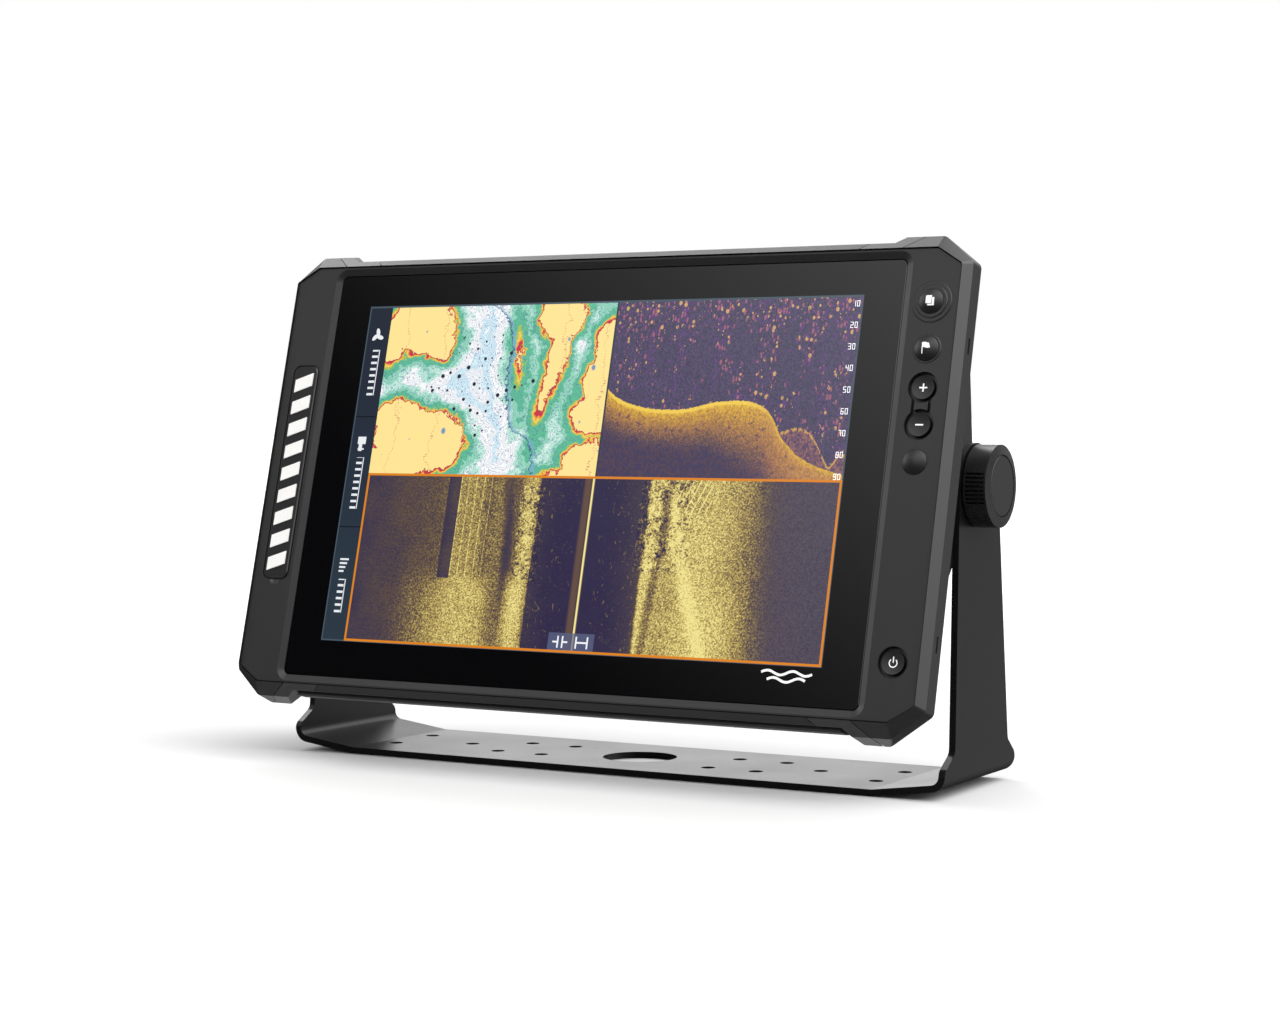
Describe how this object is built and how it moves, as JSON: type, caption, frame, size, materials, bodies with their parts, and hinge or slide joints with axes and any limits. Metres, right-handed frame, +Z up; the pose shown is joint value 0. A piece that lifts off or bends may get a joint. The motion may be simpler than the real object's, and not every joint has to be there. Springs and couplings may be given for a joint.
{
  "type": "chartplotter display",
  "caption": "Marine chartplotter display with side keys, tilting in a U-shaped gimbal bracket clamped by two knobs, with rear sockets and a hinged card door.",
  "frame": {"origin": "centre of the cable hole at the underside of the bracket base", "axes": "+X along the pivot from the left knob to the right knob as seen facing the screen, -Y out of the screen side, +Z up from the base"},
  "size_m": [0.368, 0.1219, 0.2411],
  "materials": {
    "bracket_coat": "satin powder coat, fine texture",
    "bezel": "satin moulded plastic",
    "trim": "satin, slightly lighter than the bezel",
    "badge": "gloss black plate",
    "badge_bars": "off-white raised bars",
    "cover_glass": "polished glass with a black printed border",
    "seal": "soft seal",
    "panel": "screen cell",
    "backlight": "white diffuser",
    "bare_aluminium": "mill finish",
    "board": "green solder mask",
    "tin": "tinned steel cans",
    "pad": "soft heat pad",
    "ribbon": "polyimide film",
    "switch": "switch bodies",
    "key": "smooth satin black key",
    "steel": "stainless",
    "cover": "cast aluminium, black coat",
    "ceramic": "ceramic antenna block",
    "socket": "black nylon",
    "brass": "gold plated contacts and brass inserts",
    "washer": "fibre filled nylon",
    "knob": "satin black knob",
    "cap": "satin cap",
    "vent": "breather cap"
  },
  "bodies": {
    "bracket": {"bracket": "bracket_coat"},
    "washer_left": {"thrust_washer_left": "washer"},
    "knob_left": {"knob_left": "knob", "knob_cap_left": "cap", "knob_stud_left": "steel"},
    "washer_right": {"thrust_washer_right": "washer"},
    "knob_right": {"knob_right": "knob", "knob_cap_right": "cap", "knob_stud_right": "steel"},
    "display": {"front_frame": "bezel", "badge_plate": "badge", "badge_inlay": "badge_bars", "side_rail_left": "trim", "side_rail_right": "trim", "corner_link_top_left": "trim", "corner_link_top_right": "trim", "corner_link_bottom_left": "trim", "corner_link_bottom_right": "trim", "rail_top": "trim", "rail_bottom": "trim", "cover_glass": "cover_glass", "glass_seal": "seal", "lcd_panel": "panel", "backlight": "backlight", "panel_carrier": "bare_aluminium", "heat_pad": "pad", "main_board": "board", "shield_cans": "tin", "screen_ribbon": "ribbon", "keypad_ribbon": "ribbon", "keypad_board": "board", "key_switches": "switch", "key_mat": "seal", "case_screws": "steel", "rear_cover": "cover", "buzzer": "switch", "gps_antenna": "ceramic", "wifi_antenna": "board", "power_socket": "socket", "sonar_socket": "socket", "network_socket": "socket", "ethernet_socket": "socket", "socket_nuts": "socket", "contact_pins": "brass", "card_socket": "switch", "door_pin": "steel", "door_seal": "seal", "breather_vent": "vent", "pivot_insert_left": "brass", "friction_washer_left": "washer", "pivot_insert_right": "brass", "friction_washer_right": "washer"},
    "page_key": {"page_key": "key"},
    "waypoint_key": {"waypoint_key": "key"},
    "zoom_in_key": {"zoom_in_key": "key"},
    "zoom_out_key": {"zoom_out_key": "key"},
    "option_key": {"option_key": "key"},
    "power_key": {"power_key": "key"},
    "card_door": {"card_door": "socket"}
  },
  "joints": [
    {"name": "display_tilt", "type": "hinge", "parent": "bracket", "child": "display", "pos_m": [0, -0.0064, 0.1335], "axis": [1, 0, 0], "range_deg": [-60, 17]},
    {"name": "page_key_press", "type": "slide", "parent": "display", "child": "page_key", "axis": [0, 0.9674, -0.2531], "range_m": [0, 0.0006], "stiffness_N_per_m": 2500, "springref_m": -0.0004},
    {"name": "waypoint_key_press", "type": "slide", "parent": "display", "child": "waypoint_key", "axis": [0, 0.9674, -0.2531], "range_m": [0, 0.0006], "stiffness_N_per_m": 2500, "springref_m": -0.0004},
    {"name": "zoom_in_key_press", "type": "slide", "parent": "display", "child": "zoom_in_key", "axis": [0, 0.9674, -0.2531], "range_m": [0, 0.0006], "stiffness_N_per_m": 2500, "springref_m": -0.0004},
    {"name": "zoom_out_key_press", "type": "slide", "parent": "display", "child": "zoom_out_key", "axis": [0, 0.9674, -0.2531], "range_m": [0, 0.0006], "stiffness_N_per_m": 2500, "springref_m": -0.0004},
    {"name": "option_key_press", "type": "slide", "parent": "display", "child": "option_key", "axis": [0, 0.9674, -0.2531], "range_m": [0, 0.0006], "stiffness_N_per_m": 2500, "springref_m": -0.0004},
    {"name": "power_key_press", "type": "slide", "parent": "display", "child": "power_key", "axis": [0, 0.9674, -0.2531], "range_m": [0, 0.0006], "stiffness_N_per_m": 2500, "springref_m": -0.0004},
    {"name": "washer_left_back_off", "type": "slide", "parent": "display", "child": "washer_left", "axis": [-1, 0, 0], "range_m": [0, 0.0025]},
    {"name": "knob_left_turn", "type": "hinge", "parent": "washer_left", "child": "knob_left", "pos_m": [-0.178, -0.0064, 0.1335], "axis": [-1, 0, 0], "range_deg": [0, 720]},
    {"name": "washer_right_back_off", "type": "slide", "parent": "display", "child": "washer_right", "axis": [1, 0, 0], "range_m": [0, 0.0025]},
    {"name": "knob_right_turn", "type": "hinge", "parent": "washer_right", "child": "knob_right", "pos_m": [0.178, -0.0064, 0.1335], "axis": [1, 0, 0], "range_deg": [0, 720]},
    {"name": "card_door_open", "type": "hinge", "parent": "display", "child": "card_door", "pos_m": [0.096, 0.01244, 0.14149], "axis": [1, 0, 0], "range_deg": [0, 100]}
  ],
  "couplings": [
    {"joint": "knob_left_turn", "follows": "washer_left_back_off", "rad_per_m": 5026.5},
    {"joint": "knob_right_turn", "follows": "washer_right_back_off", "rad_per_m": 5026.5}
  ]
}
